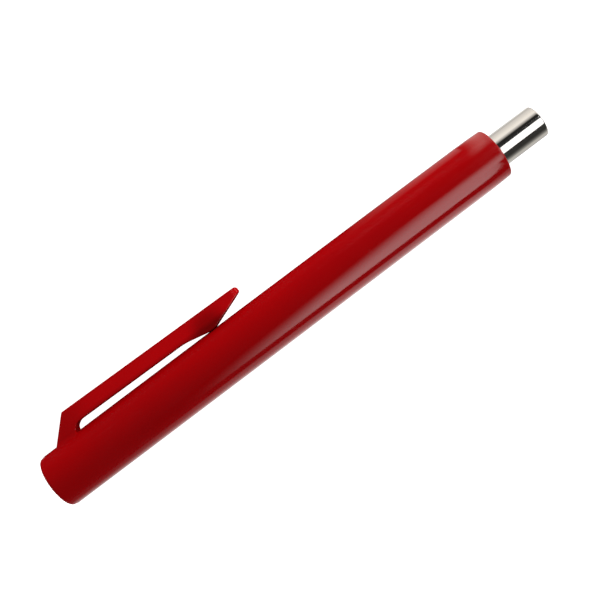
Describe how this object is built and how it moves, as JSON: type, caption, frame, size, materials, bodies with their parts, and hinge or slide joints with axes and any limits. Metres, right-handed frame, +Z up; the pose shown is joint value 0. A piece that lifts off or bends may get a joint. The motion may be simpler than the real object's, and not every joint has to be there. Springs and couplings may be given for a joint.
{
  "type": "twist-action ballpoint pen",
  "caption": "Slim ballpoint pen: red tapered barrel with a moulded side clip, and a chrome nose that twists to push the refill out and back.",
  "frame": {"origin": "On the pen's long axis, at the middle of the barrel's flat rear end face.", "axes": "+X runs along the pen from its blunt rear end to its writing nose, +Y points to the side the clip is on, and +Z is up as the pen lies on its side."},
  "size_m": [0.14, 0.0191, 0.0134],
  "materials": {
    "red_plastic": "gloss",
    "chrome": "polished",
    "grey_plastic": "satin",
    "white_plastic": "satin",
    "black_plastic": "satin",
    "clear_tube": "gloss",
    "spring_steel": "satin",
    "brass": "satin",
    "carbide": "polished",
    "rubber": "matte",
    "ink": "wet",
    "grease": "wet"
  },
  "bodies": {
    "barrel": {"barrel": "red_plastic", "cam_sleeve": "grey_plastic", "front_bush": "black_plastic", "friction_ring": "rubber", "thrust_washer": "white_plastic", "rear_bearing": "black_plastic"},
    "clip": {"clip_arm": "red_plastic"},
    "nose": {"nose_tube": "chrome", "nose_insert": "white_plastic", "spring_seat": "spring_steel", "driver_tube": "grey_plastic", "return_spring": "spring_steel"},
    "refill": {"carrier": "white_plastic", "cross_pin": "spring_steel", "refill_tube": "clear_tube", "vent_plug": "white_plastic", "tip_adapter": "white_plastic", "refill_tip": "brass", "ink_column": "ink", "grease_follower": "grease", "writing_ball": "carbide"}
  },
  "joints": [
    {"name": "nose_twist", "type": "hinge", "parent": "barrel", "child": "nose", "pos_m": [0.1275, 0, 0], "axis": [1, 0, 0], "range_deg": [0, 180]},
    {"name": "refill_advance", "type": "slide", "parent": "nose", "child": "refill", "axis": [1, 0, 0], "range_m": [0, 0.0048], "deforming": ["return_spring"]},
    {"name": "clip_flex", "type": "hinge", "parent": "barrel", "child": "clip", "pos_m": [0.01374, 0.01037, 0], "axis": [0, 0, 1], "range_deg": [0, 3.5], "stiffness_Nm_per_rad": 5}
  ],
  "couplings": [
    {"joint": "refill_advance", "follows": "nose_twist", "m_per_rad": 0.0015279}
  ]
}
